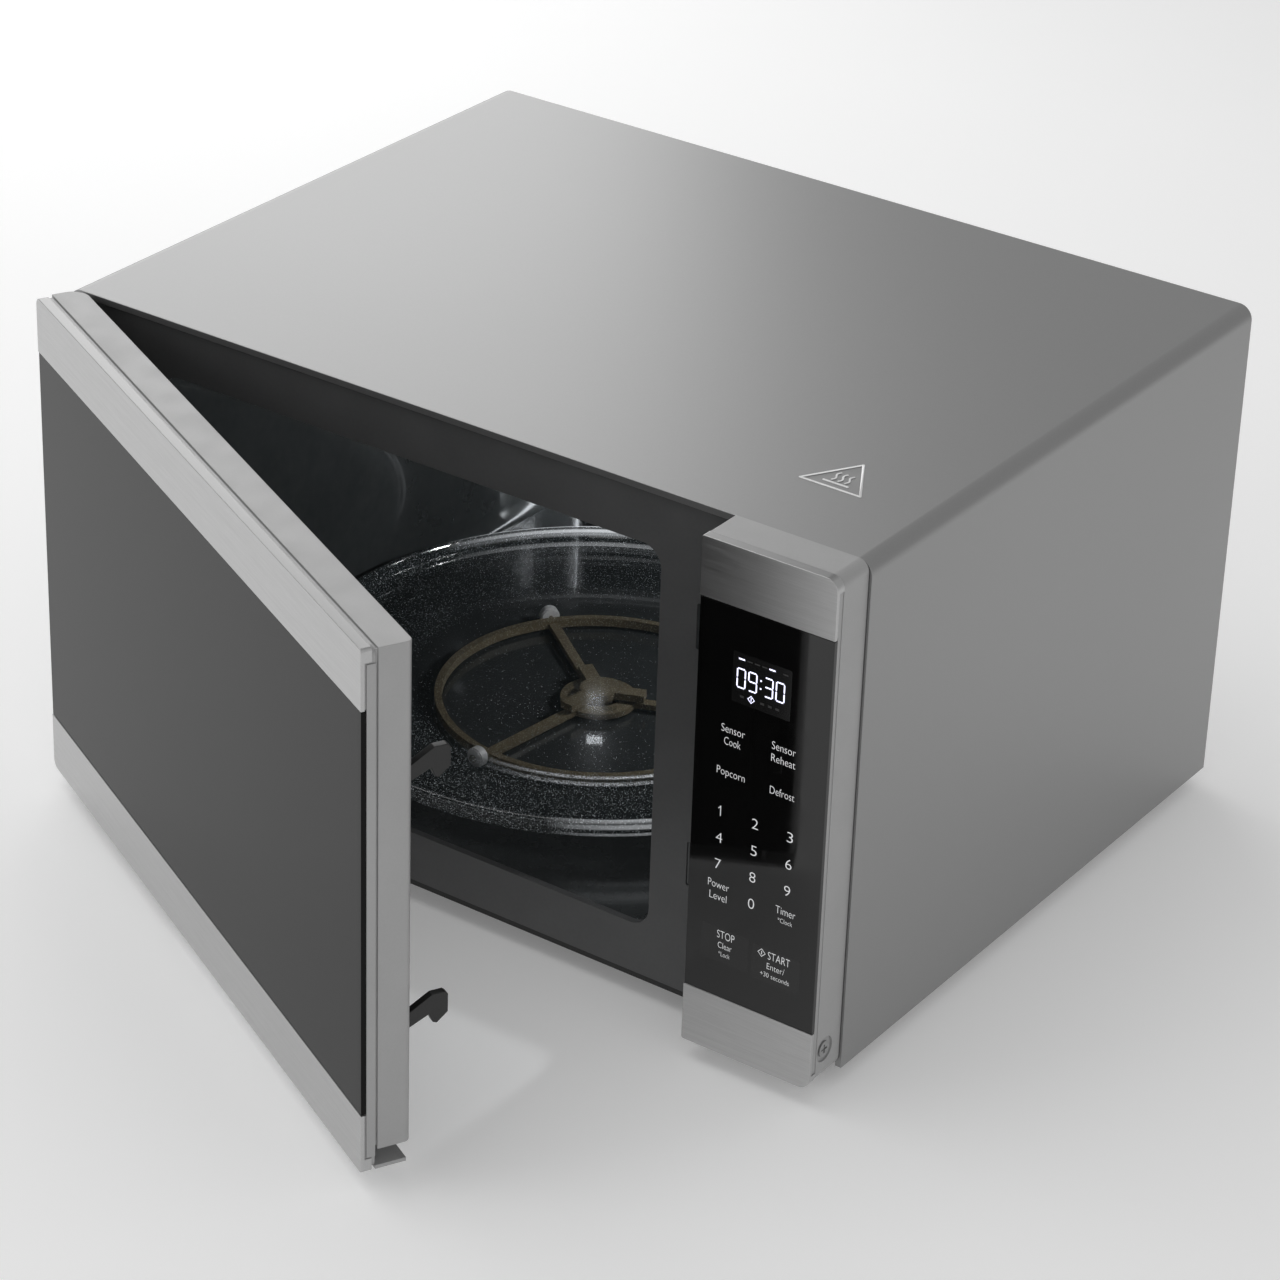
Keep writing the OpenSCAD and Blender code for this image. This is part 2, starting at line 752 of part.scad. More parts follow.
// Space in the door that a hinge arm sweeps as the door swings
module arm_slot(arm_z) {
  block(door_x0 - past, hinge_x + arm_w / 2 + 1.2, hinge_y - 9.8, face_back_y + past,
        arm_z - 1.5, arm_z + arm_t + 1.5);
}

// Front frame that holds the glass and the steel strips
module door_frame() {
  inner = [door_x0 + sheet, door_x1 - sheet, face_z0 + sheet, face_z1 - sheet];
  corner_h = door_r + 4;
  color([0.66, 0.66, 0.66]) on_door() difference() {
    union() {
      slab(frame_y0, frame_y1) {
        pane(inner, door_r - sheet);
        translate([door_x0, face_z0 + corner_h]) square([door_w, face_z1 - face_z0 - 2 * corner_h]);
      }
      slab(face_y + sheet, frame_y0) intersection() {
        pane(inner, door_r);
        union() {
          translate([door_x0, face_z0]) square([door_w, low_strip_h - sheet]);
          translate([door_x0, top_strip_z + sheet]) square([door_w, top_strip_h]);
        }
      }
      block(door_x0 + 6, door_x1, frame_y1 - eps, face_back_y - 3, face_z0 + sheet, face_z0 + 3.2);
      for (i = [0:5]) {
        x = door_x0 + 20 + i * (door_w - 40) / 5;
        block(x - 1, x + 1, frame_y1 - eps, face_back_y - 8, face_z0 + 3, cover_z0);
      }
    }
    slab(face_y - past, frame_y1 + past) pane(window, 8);
    arm_slot(upper_arm_z);
    arm_slot(lower_arm_z);
  }
}

// Moulded cover that closes the door's sides and back
module door_inner_cover() {
  color([0.70, 0.70, 0.70]) on_door() difference() {
    union() {
      difference() {
        union() {
          deck(cover_z0, cover_z1)
            rounded(door_x0, door_x1, cover_y0, face_back_y, [0, 0, 4, 12]);
          deck(cover_z0 + 2, cover_z1 - 1.5)
            rounded(door_x0 + 1.5, door_x1 - 1.5, frame_y1, cover_y0 + eps, [0, 0, 0, 0]);
        }
        deck(cover_z0 + cover_wall + 2, cover_z1 - cover_wall - 1)
          rounded(door_x0 + cover_wall + 1, door_x1 - cover_wall - 1, frame_y1 - past,
                  face_back_y - cover_wall, [0, 0, 2, 9]);
      }
      slab(face_back_y - eps, plateau_y) pane(window, 30, 34);
      for (z = [[upper_arm_z + arm_t + 1.5, cover_z1 - 2], [cover_z0 + 2, lower_arm_z - 1.5]])
        translate([hinge_x, hinge_y, z[0]]) cylinder(h = z[1] - z[0], r = 6);
    }
    slab(face_back_y - cover_wall - past, plateau_y + past) pane(window, 10);
    for (z = hook_zs)
      slab(face_back_y - 6, face_back_y + past)
        pane([latch_x - 4, latch_x + 4, z - 2, z + hook_h + latch_travel + 2], 1);
    translate([hinge_x, hinge_y, upper_arm_z])
      cylinder(h = upper_pin_z + 0.5 - upper_arm_z, r = pin_r + pin_gap);
    translate([hinge_x, hinge_y, lower_pin_z - 0.5]) cylinder(h = 20, r = pin_r + pin_gap);
    arm_slot(upper_arm_z);
    arm_slot(lower_arm_z);
  }
}

// Sheet-metal screen and choke inside the door
module door_choke_plate() {
  y = frame_y1 + 0.2;
  color([0.10, 0.10, 0.11]) on_door() {
    slab(y, y + sheet) pane(window, 30, 30);
    slab(y, y + 12) difference() {
      pane(window, 30, 30);
      pane(window, 29, 29);
    }
    slab(y + 12 - sheet, y + 12) difference() {
      pane(window, 30, 30);
      pane(window, 14, 18);
    }
  }
}

module door_inner_window() {
  y1 = plateau_y - 1.2;
  color([0.14, 0.14, 0.15, 0.6]) on_door() slab(y1 - 1.5, y1) pane(window, 10, -0.05);
}

module door_glass() {
  color([0.14, 0.14, 0.15]) on_door() slab(face_y + glass_recess, face_y + glass_recess + glass_t)
    pane([door_x0 + 0.4, door_x1 - 0.4, low_strip_z + seam, top_strip_z - seam], 0.8);
}

// Folded steel strip: front face, one long fold and two short end folds.
// z_out is the outer edge, z_in the edge beside the glass; r rounds the two outer corners.
module strip(x0, x1, z_out, z_in, r) {
  up = z_out > z_in;
  lo = min(z_out, z_in);
  hi = max(z_out, z_in);
  corner = up ? [0, 0, r[1], r[0]] : [r[0], r[1], 0, 0];
  t = sheet - 0.02;
  inner = [for (c = corner) max(c - t, 0)];
  difference() {
    slab(face_y, face_y + strip_fold) rounded(x0, x1, lo, hi, corner);
    slab(face_y + t, face_y + strip_fold + past)
      rounded(x0 + t, x1 - t, up ? lo - past : lo + t, up ? hi - t : hi + past, inner);
    for (x = [x0 - past, x1 - past - t])
      block(x, x + 2 * past + t, face_y + end_fold, face_y + strip_fold + past,
            up ? lo - past : lo + door_r + 3, up ? hi - door_r - 3 : hi + past);
  }
}

module door_top_strip() {
  color([0.78, 0.78, 0.78]) on_door()
    strip(door_x0, door_x1, face_z1, top_strip_z, [door_r, 2]);
}

module door_bottom_strip() {
  color([0.78, 0.78, 0.78]) on_door()
    strip(door_x0, door_x1, face_z0, low_strip_z, [door_r, 2]);
}

// ---------- latch ----------

// Outline of a hook, drawn from the door's back face: y outward, z from the hook's foot
hook_outline = [[-9, 0], [0, 0], [15, 7], [17.5, 1], [20, 0], [27, 6], [27, 18], [25, hook_h],
                [17, hook_h], [0, 10], [-9, 10]];

module latch_key() {
  color([0.07, 0.07, 0.07]) on_door() {
    for (z = hook_zs) plank(latch_x - 2.5, latch_x + 2.5)
      translate([face_back_y, z]) polygon(hook_outline);
    block(latch_x - 2.5, latch_x + 2.5, face_back_y - 14, face_back_y - 8,
          hook_zs[0] - 6, hook_zs[1] + hook_h);
  }
}

spring_turns = 7;
spring_z0 = cover_z0 + cover_wall + 2;
spring_z1 = hook_zs[0] - 6;
spring_r = 2.2;
wire_r = 0.35;

// Points of one ring of the spring's wire, n_side points round the wire
function wire_ring(t, n_side) =
  let (a = t * 360 * spring_turns,
       z = spring_z0 + wire_r + t * (spring_z1 - spring_z0 - 2 * wire_r),
       c = [spring_r * cos(a), spring_r * sin(a), z])
  [for (k = [0:n_side - 1]) let (b = k * 360 / n_side)
     c + wire_r * [cos(b) * cos(a), cos(b) * sin(a), sin(b)]];

module latch_spring() {
  n = 84;
  sides = 6;
  points = [for (i = [0:n]) each wire_ring(i / n, sides)];
  walls = [for (i = [0:n - 1]) for (k = [0:sides - 1]) let (k2 = (k + 1) % sides)
    [i * sides + k, (i + 1) * sides + k, (i + 1) * sides + k2, i * sides + k2]];
  ends = [[for (k = [0:sides - 1]) k], [for (k = [sides - 1:-1:0]) n * sides + k]];
  color([0.70, 0.71, 0.73]) on_door() translate([latch_x, face_back_y - 11, 0])
    polyhedron(points = points, faces = concat(walls, ends), convexity = 10);
}

// ---------- control panel ----------

screw_at = [-245, 34.5];             // y, z of the screw in the panel's right side
screw_recess_r = 8.4;

module panel_outline(g, z0, z1) {
  r = max(panel_r - g, 0);
  left = max(panel_left_r - g, 0);
  rounded(panel_x0 + g, panel_x1 - g, z0 + g, z1 - g, [left, r, r, left]);
}

module panel_frame() {
  body_y0 = face_y + 4.2;
  color([0.66, 0.66, 0.66]) difference() {
    union() {
      slab(face_y + strip_fold + seam, panel_back_y) panel_outline(0.4, face_z0, face_z1);
      slab(body_y0, face_y + strip_fold + seam) panel_outline(sheet, face_z0, face_z1);
      slab(face_y + sheet, body_y0) intersection() {
        panel_outline(sheet, face_z0, face_z1);
        union() {
          translate([panel_x0, face_z0]) square([panel_w, low_strip_h - sheet]);
          translate([panel_x0, top_strip_z + sheet]) square([panel_w, top_strip_h]);
        }
      }
    }
    slab(body_y0 + panel_wall, panel_back_y + past) panel_outline(sheet + panel_wall, face_z0, face_z1);
    slab(body_y0 - past, body_y0 + 4) pane([panel_mid - 26, panel_mid + 26, 240, 300], 2);
    rod_x(screw_at[0], screw_at[1], screw_recess_r, panel_x1 - 1.7, panel_x1 + past);
    rod_x(screw_at[0], screw_at[1], 1.9, panel_x1 - 4, panel_x1 + past);
  }
}

module panel_glass() {
  y = face_y + glass_recess;
  color([0.03, 0.03, 0.03]) slab(y, y + glass_t)
    pane([panel_x0 + 0.4, panel_x1 - 0.4, low_strip_z + seam, top_strip_z - seam], 0.8);
}

module panel_top_strip() {
  color([0.78, 0.78, 0.78]) strip(panel_x0, panel_x1, face_z1, top_strip_z, [panel_left_r, panel_r]);
}

module panel_bottom_strip() {
  color([0.78, 0.78, 0.78]) strip(panel_x0, panel_x1, face_z0, low_strip_z, [panel_left_r, panel_r]);
}

module control_board() {
  y = face_y + 19;
  color([0.12, 0.38, 0.20]) {
    block(panel_x0 + 9, panel_x1 - 9, y, y + 1.6, 70, 306);
    for (z = [96, 140, 186]) block(panel_x0 + 20, panel_x0 + 44, y + 1.6, y + 10, z, z + 26);
    for (x = [panel_x0 + 14, panel_x1 - 14]) for (z = [78, 298])
      rod_y(x, z, 3, face_y + 4.2 + panel_wall, y);
  }
}

module display_module() {
  y0 = face_y + glass_recess + glass_t + 0.3;
  color([0.05, 0.05, 0.06]) block(panel_mid - 25, panel_mid + 25, y0, face_y + 19, 242, 298);
}

module panel_screw() {
  color([0.35, 0.35, 0.36]) difference() {
    union() {
      rod_x(screw_at[0], screw_at[1], 5.2, panel_x1 - 1.7, panel_x1 - 0.5);
      rod_x(screw_at[0], screw_at[1], 1.85, panel_x1 - 14, panel_x1 - 1.7);
    }
    plank(panel_x1 - 1.2, panel_x1) {
      translate(screw_at) square([6, 1.3], center = true);
      translate(screw_at) square([1.3, 6], center = true);
    }
  }
}

module cabinet_screws() {
  color([0.55, 0.55, 0.57])
    for (p = [[-292, 60], [-292, 200], [-292, 330], [292, 40], [292, 120], [292, 330], [-90, 346], [90, 346]])
      difference() {
        rod_y(p[0], p[1], 4, back_y, back_y + 2);
        slab(back_y + 1, back_y + 3) {
          translate(p) square([5, 1.1], center = true);
          translate(p) square([1.1, 5], center = true);
        }
      }
}

outer_cabinet();
rear_panel();
wall_spacers();
cord_bushing();
base_plate();
feet();
cavity_floor();
cavity_liner();
front_plate();
waveguide_cover();
waveguide();
magnetron_yoke();
magnetron_tube();
magnetron_fins();
magnetron_filter_box();
inverter_board();
inverter_transformer();
inverter_heat_sink();
inverter_capacitors();
noise_filter_board();
fan_housing();
fan_motor();
fan_shaft();
fan_blade();
air_guide();
cavity_lamp();
thermal_cutout();
humidity_sensor();
turntable_motor();
turntable_shaft();
drive_coupler();
roller_ring();
roller(roller_angles[0]);  // roller_1
roller(roller_angles[1]);  // roller_2
roller(roller_angles[2]);  // roller_3
glass_tray();
interlock_bracket();
interlock_switches();
interlock_lever();
upper_hinge();
lower_hinge();
hinge_screws();
door_frame();
door_inner_cover();
door_choke_plate();
door_inner_window();
door_glass();
door_top_strip();
door_bottom_strip();
latch_key();
latch_spring();
panel_frame();
panel_glass();
panel_top_strip();
panel_bottom_strip();
control_board();
display_module();
panel_screw();
cabinet_screws();
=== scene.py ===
import json
import math

import bmesh
import bpy
from mathutils import Matrix, Vector


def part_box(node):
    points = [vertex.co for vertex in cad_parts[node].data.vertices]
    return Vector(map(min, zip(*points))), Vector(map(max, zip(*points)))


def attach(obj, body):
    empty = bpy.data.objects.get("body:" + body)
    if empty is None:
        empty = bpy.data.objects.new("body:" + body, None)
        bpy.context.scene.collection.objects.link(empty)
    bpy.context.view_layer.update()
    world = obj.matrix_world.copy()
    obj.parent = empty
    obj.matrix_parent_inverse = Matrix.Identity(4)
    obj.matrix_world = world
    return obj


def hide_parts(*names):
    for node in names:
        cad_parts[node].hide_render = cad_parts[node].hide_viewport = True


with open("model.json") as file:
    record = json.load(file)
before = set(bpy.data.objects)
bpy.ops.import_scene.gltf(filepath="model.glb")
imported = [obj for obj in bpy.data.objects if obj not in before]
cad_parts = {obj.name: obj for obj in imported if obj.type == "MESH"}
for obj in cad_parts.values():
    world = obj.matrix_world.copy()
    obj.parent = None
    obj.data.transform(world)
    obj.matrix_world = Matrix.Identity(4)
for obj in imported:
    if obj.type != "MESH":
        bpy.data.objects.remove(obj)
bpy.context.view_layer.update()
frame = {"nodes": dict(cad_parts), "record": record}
nodes = frame["nodes"]
node_body = {n: body for body, ns in frame["record"]["behaviour"]["bodies"].items() for n in ns}

joints = {joint["name"]: joint for joint in frame["record"]["behaviour"]["joints"]}

DOOR_OPEN = -math.radians(joints["door_hinge"]["range_deg"][0])
HINGE = Vector((*joints["door_hinge"]["pos_m"][:2], 0.0))
TRAY_AXIS = Vector((*joints["turntable_spin"]["pos_m"][:2], 0.0))
COVER_BACK = -0.2295  # y of the inner cover's face towards the oven, door closed


# ---------- material graphs ----------

class Paint:
    """A Principled material with helpers that add texture nodes. Coordinates are in metres."""

    def __init__(self, name, **sockets):
        self.material = bpy.data.materials.new(name)
        self.material.use_nodes = True
        self.tree = self.material.node_tree
        self.shader = self.tree.nodes["Principled BSDF"]
        for key, value in sockets.items():
            self.shader.inputs[key.replace("_", " ")].default_value = value
        self.coord = self.add("ShaderNodeTexCoord").outputs["Object"]

    def add(self, kind, **props):
        node = self.tree.nodes.new(kind)
        for key, value in props.items():
            setattr(node, key, value)
        return node

    def link(self, source, target):
        if isinstance(source, bpy.types.NodeSocket):
            self.tree.links.new(source, target)
        else:
            target.default_value = source

    def set(self, socket, source):
        self.link(source, self.shader.inputs[socket])

    def mapped(self, scale=(1, 1, 1), rotation=(0, 0, 0), location=(0, 0, 0), source=None):
        node = self.add("ShaderNodeMapping")
        self.link(source or self.coord, node.inputs["Vector"])
        node.inputs["Scale"].default_value = scale
        node.inputs["Rotation"].default_value = rotation
        node.inputs["Location"].default_value = location
        return node.outputs["Vector"]

    def door_space(self):
        """Coordinates on the door as if it stood closed."""
        turn = Matrix.Rotation(DOOR_OPEN, 3, "Z")
        return self.mapped(rotation=(0, 0, DOOR_OPEN), location=HINGE - turn @ HINGE)

    def noise(self, scale, detail=2.0, rough=0.5, source=None):
        node = self.add("ShaderNodeTexNoise")
        self.link(source or self.coord, node.inputs["Vector"])
        node.inputs["Scale"].default_value = scale
        node.inputs["Detail"].default_value = detail
        node.inputs["Roughness"].default_value = rough
        return node.outputs["Fac"]

    def cells(self, scale, output="Distance", feature="F1", source=None):
        node = self.add("ShaderNodeTexVoronoi", feature=feature)
        self.link(source or self.coord, node.inputs["Vector"])
        node.inputs["Scale"].default_value = scale
        return node.outputs[output]

    def span(self, value, low, high, out_low=0.0, out_high=1.0):
        node = self.add("ShaderNodeMapRange")
        self.link(value, node.inputs["Value"])
        for key, number in (("From Min", low), ("From Max", high), ("To Min", out_low), ("To Max", out_high)):
            node.inputs[key].default_value = number
        return node.outputs["Result"]

    def calc(self, operation, a, b=0.0):
        node = self.add("ShaderNodeMath", operation=operation)
        self.link(a, node.inputs[0])
        self.link(b, node.inputs[1])
        return node.outputs[0]

    def axes(self, source=None):
        node = self.add("ShaderNodeSeparateXYZ")
        self.link(source or self.coord, node.inputs[0])
        return node.outputs

    def blend(self, factor, a, b):
        node = self.add("ShaderNodeMix", data_type="RGBA")
        self.link(factor, node.inputs[0])
        for value, target in ((a, node.inputs[6]), (b, node.inputs[7])):
            self.link(value if isinstance(value, bpy.types.NodeSocket) else (*value, 1.0), target)
        return node.outputs[2]

    def bump(self, height, strength, distance):
        node = self.add("ShaderNodeBump")
        node.inputs["Strength"].default_value = strength
        node.inputs["Distance"].default_value = distance
        self.link(height, node.inputs["Height"])
        if self.shader.inputs["Normal"].is_linked:
            self.link(self.shader.inputs["Normal"].links[0].from_socket, node.inputs["Normal"])
        self.set("Normal", node.outputs["Normal"])


def tint(value, warm=0.0):
    """A grey, slightly warm or cool."""
    return (value * (1 + warm), value, value * (1 - warm))


def varied(name, dark, light, rough, grain=900.0, bump=0.05, depth=0.0002, patch=22.0, **sockets):
    """Painted or moulded surface: two close tones in soft patches, a fine grain and uneven gloss."""
    p = Paint(name, **sockets)
    tone = p.calc("ADD", p.calc("MULTIPLY", p.noise(patch, 3.0), 0.65),
                  p.calc("MULTIPLY", p.noise(grain * 0.5, 1.0), 0.35))
    p.set("Base Color", p.blend(p.span(tone, 0.3, 0.7), dark, light))
    p.set("Roughness", p.span(p.noise(patch * 2.3, 2.0), 0.3, 0.7, rough * 0.88, rough * 1.12))
    p.bump(p.noise(grain, 2.0), bump, depth)
    return p


def cabinet_paint(name):
    """Even metallic grey paint with a fine grain; the raised pictogram on top is painted paler, a painted
    highlight on its ridges.
    """
    p = Paint(name, Metallic=0.82)
    grain = p.noise(1300.0, 2.0)
    tone = p.calc("ADD", p.calc("MULTIPLY", p.noise(2.0, 2.0), 0.4), p.calc("MULTIPLY", grain, 0.6))
    base = p.blend(p.span(tone, 0.3, 0.7), tint(0.316), tint(0.344))
    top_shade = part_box("outer_cabinet")[1].z
    # The raised pictogram on top is painted paler: a painted highlight on its embossed ridges.
    ridge_highlight = p.span(p.axes()[2], top_shade - 0.00040, top_shade - 0.00015)
    p.set("Base Color", p.blend(ridge_highlight, base, tint(0.85)))
    p.set("Roughness", p.span(grain, 0.3, 0.7, 0.36, 0.39))
    p.bump(grain, 0.035, 0.00012)
    return p


def brushed(name, on_door, light=0.55, dark=0.47, top_shade=0.26):
    """Stainless steel brushed along the width; faces turned upward are painted darker, a painted shade."""
    p = Paint(name, Metallic=1.0)
    base = p.door_space() if on_door else p.coord
    fine = p.noise(1.0, 3.0, 0.7, p.mapped(scale=(40, 2600, 2600), source=base))
    wide = p.noise(1.0, 2.0, 0.6, p.mapped(scale=(12, 700, 700), source=base))
    streak = p.calc("ADD", p.calc("MULTIPLY", fine, 0.75), p.calc("MULTIPLY", wide, 0.25))
    upward = p.span(p.axes(p.add("ShaderNodeTexCoord").outputs["Normal"])[2], 0.80, 0.98)
    tone = p.blend(p.span(streak, 0.36, 0.64), tint(dark), tint(light))
    # Faces turned upward are painted darker: painted shade on the top folds of the steel.
    p.set("Base Color", p.blend(p.calc("MULTIPLY", upward, 0.75), tone, tint(top_shade)))
    p.set("Roughness", p.span(streak, 0.35, 0.65, 0.29, 0.35))
    p.bump(streak, 0.035, 0.0002)
    return p


def galvanised(name):
    """Zinc-coated sheet with soft spangles."""
    p = Paint(name, Metallic=0.9)
    spangle = p.cells(190.0, "Color")
    tone = p.span(p.axes(spangle)[0], 0.0, 1.0)
    p.set("Base Color", p.blend(tone, tint(0.38), tint(0.46, -0.01)))
    p.set("Roughness", p.span(tone, 0.0, 1.0, 0.38, 0.46))
    p.bump(p.noise(300.0), 0.05, 0.0003)
    return p


def door_glass(name):
    """Dark mirrored glass with a black printed border."""
    p = Paint(name, Specular_IOR_Level=0.12)
    left, right = -0.302, 0.2065
    across = p.calc("ABSOLUTE", p.calc("SUBTRACT", p.axes(p.door_space())[0], (left + right) / 2))
    border = p.span(across, (right - left) / 2 - 0.0046, (right - left) / 2 - 0.0042)
    tone = p.blend(p.noise(9.0, 3.0), tint(0.010), tint(0.013))
    p.set("Base Color", p.blend(border, tone, tint(0.004)))
    p.set("Roughness", p.span(p.noise(30.0, 4.0), 0.3, 0.7, 0.05, 0.09))
    p.bump(p.noise(14.0, 1.0), 0.02, 0.0006)
    return p


def door_cover(name):
    """Grey moulding; its face towards the oven is painted black, a painted shade for the dark that face
    stands in.
    """
    p = varied(name, tint(0.385), tint(0.415), 0.42, 1500.0, 0.05, Metallic=0.25)
    y = p.axes(p.door_space())[1]
    grey = p.shader.inputs["Base Color"].links[0].from_socket
    # The face towards the oven is painted near-black: painted shade, as that face stands in the dark.
    p.set("Base Color", p.blend(p.span(y, COVER_BACK - 0.0004, COVER_BACK - 0.0001), grey, tint(0.007)))
    return p


def touch_glass(name):
    """Black glass of the control panel."""
    p = Paint(name, Specular_IOR_Level=0.6)
    p.set("Base Color", p.blend(p.noise(20.0, 3.0), tint(0.0022), tint(0.0030)))
    p.set("Roughness", p.span(p.noise(45.0, 4.0), 0.35, 0.7, 0.03, 0.065))
    p.bump(p.noise(18.0, 1.0), 0.015, 0.0004)
    return p


def band(p, value, middle, half):
    """1 in a narrow band round a middle value, fading to 0 at its edges."""
    return p.span(p.calc("ABSOLUTE", p.calc("SUBTRACT", value, middle)), half * 0.5, half, 1.0, 0.0)


def speckled_glass(name):
    """Clear tray glass. Tiny bright specks crowd together on its slope and rim. Glowing bands on the rim and
    on the front of the slope, and the glow of the specks towards the front, are painted highlights.
    """
    p = Paint(name, IOR=1.6, Coat_Weight=0.5, Coat_Roughness=0.05)
    centred = p.mapped(location=-TRAY_AXIS)
    length = p.add("ShaderNodeVectorMath", operation="LENGTH")
    p.link(p.mapped(scale=(1, 1, 0), source=centred), length.inputs[0])
    radius = length.outputs["Value"]
    slope = p.span(radius, 0.124, 0.134)
    edge = p.span(radius, 0.1905, 0.1965)
    crowd = p.noise(26.0, 3.0)
    share = p.calc("ADD", p.span(crowd, 0.35, 0.70, 0.004, 0.022), p.calc("MULTIPLY", slope, 0.10))
    share = p.calc("ADD", share, p.calc("MULTIPLY", edge, 0.12))
    dice = p.axes(p.cells(1900.0, "Color"))
    chosen = p.calc("LESS_THAN", dice[0], share)
    speck = p.calc("MULTIPLY", chosen, p.calc("LESS_THAN", p.cells(1900.0), 0.36))
    bright = p.calc("POWER", p.span(dice[1], 0.2, 1.0, 0.25, 1.0), 2.0)
    x, y, _ = p.axes(centred)
    far = p.calc("DIVIDE", p.calc("ADD", p.calc("MULTIPLY", x, -0.42), p.calc("MULTIPLY", y, 0.907)), radius)
    near = p.calc("DIVIDE", p.calc("ADD", p.calc("MULTIPLY", x, 0.74), p.calc("MULTIPLY", y, -0.673)), radius)
    upper = p.span(p.axes(p.add("ShaderNodeTexCoord").outputs["Normal"])[2], 0.0, 0.2)
    # Bands on the rim and its inner wall, strongest towards the back and the front: painted highlights.
    inner_line = p.calc("MULTIPLY", band(p, radius, 0.2003, 0.0008), 0.6)
    lines = p.calc("ADD", band(p, radius, 0.2037, 0.0014), inner_line)
    reach = p.calc("ADD", p.span(far, 0.72, 0.98), p.calc("MULTIPLY", p.span(near, 0.93, 1.0), 0.5))
    rim_highlight = p.calc("MULTIPLY", lines, reach)
    # A sparkly band on top of the slope towards the front: a painted highlight.
    knee_highlight = p.calc("MULTIPLY", p.calc("MULTIPLY", band(p, radius, 0.1305, 0.0034), p.span(near, 0.55, 0.97)),
                  p.calc("MULTIPLY", upper, p.span(p.noise(1300.0, 2.0), 0.49, 0.58)))
    painted_glint = p.calc("MINIMUM", p.calc("ADD", rim_highlight, knee_highlight), 1.0)
    haze = p.span(p.noise(650.0, 3.0), 0.35, 0.65)
    body = p.blend(haze, (0.022, 0.028, 0.030), (0.044, 0.052, 0.054))
    shine = p.calc("MULTIPLY", speck, bright)
    p.set("Base Color", p.blend(shine, body, (0.92, 0.96, 1.0)))
    thick = p.calc("ADD", p.calc("MULTIPLY", slope, 0.22), p.calc("MULTIPLY", edge, 0.30))
    misty = p.calc("ADD", p.calc("ADD", thick, 0.10), p.calc("MULTIPLY", haze, 0.06))
    p.set("Alpha", p.calc("MAXIMUM", painted_glint, p.calc("MAXIMUM", misty, speck)))
    p.set("Roughness", p.span(haze, 0.0, 1.0, 0.05, 0.14))
    # Specks glow more towards the front: painted glints.
    towards = p.span(near, -0.2, 0.8, 0.25, 1.0)
    speck_glint = p.blend(p.calc("MULTIPLY", shine, towards), (0, 0, 0), (0.52, 0.56, 0.58))
    # The bands and speck glints are emitted: painted highlights that glow though the tray is no lamp.
    p.set("Emission Color", p.blend(painted_glint, speck_glint, (0.72, 0.75, 0.78)))
    p.shader.inputs["Emission Strength"].default_value = 1.0
    p.bump(p.noise(420.0, 2.0), 0.10, 0.0004)
    return p


def speckled_plastic(name):
    """Heat-proof tan plastic with pale and dark flecks."""
    p = Paint(name, Roughness=0.5)
    fleck = p.calc("LESS_THAN", p.cells(900.0), 0.22)
    tone = p.blend(p.noise(160.0, 3.0), (0.11, 0.088, 0.052), (0.22, 0.178, 0.108))
    p.set("Base Color", p.blend(fleck, tone, (0.75, 0.68, 0.52)))
    p.bump(p.noise(600.0), 0.15, 0.0003)
    return p


def perforated(name):
    """Black sheet with a grid of small holes."""
    p = Paint(name, Metallic=0.3, Roughness=0.45)
    x, _, z = p.axes(p.mapped(scale=(1 / 0.0022, 1, 1 / 0.0022), source=p.door_space()))
    dx = p.calc("SUBTRACT", p.calc("FRACT", x), 0.5)
    dz = p.calc("SUBTRACT", p.calc("FRACT", z), 0.5)
    reach = p.calc("SQRT", p.calc("ADD", p.calc("MULTIPLY", dx, dx), p.calc("MULTIPLY", dz, dz)))
    hole = p.span(reach, 0.30, 0.34)
    p.set("Base Color", p.blend(hole, tint(0.002), tint(0.10)))
    p.bump(hole, 0.3, 0.0003)
    return p


def circuit(name):
    """Solder-masked board with paler copper tracks."""
    p = Paint(name, Roughness=0.4)
    track = p.span(p.cells(150.0, "Distance", "DISTANCE_TO_EDGE"), 0.05, 0.09)
    p.set("Base Color", p.blend(track, (0.05, 0.20, 0.07), (0.012, 0.075, 0.028)))
    p.bump(track, 0.2, 0.0002)
    return p


def window_film(name):
    """Smoked, half see-through inner window of the door."""
    p = Paint(name, Specular_IOR_Level=0.6, Alpha=0.55)
    p.set("Base Color", p.blend(p.noise(15.0, 2.0), tint(0.006), tint(0.011)))
    p.set("Roughness", p.span(p.noise(40.0, 3.0), 0.3, 0.7, 0.05, 0.10))
    return p


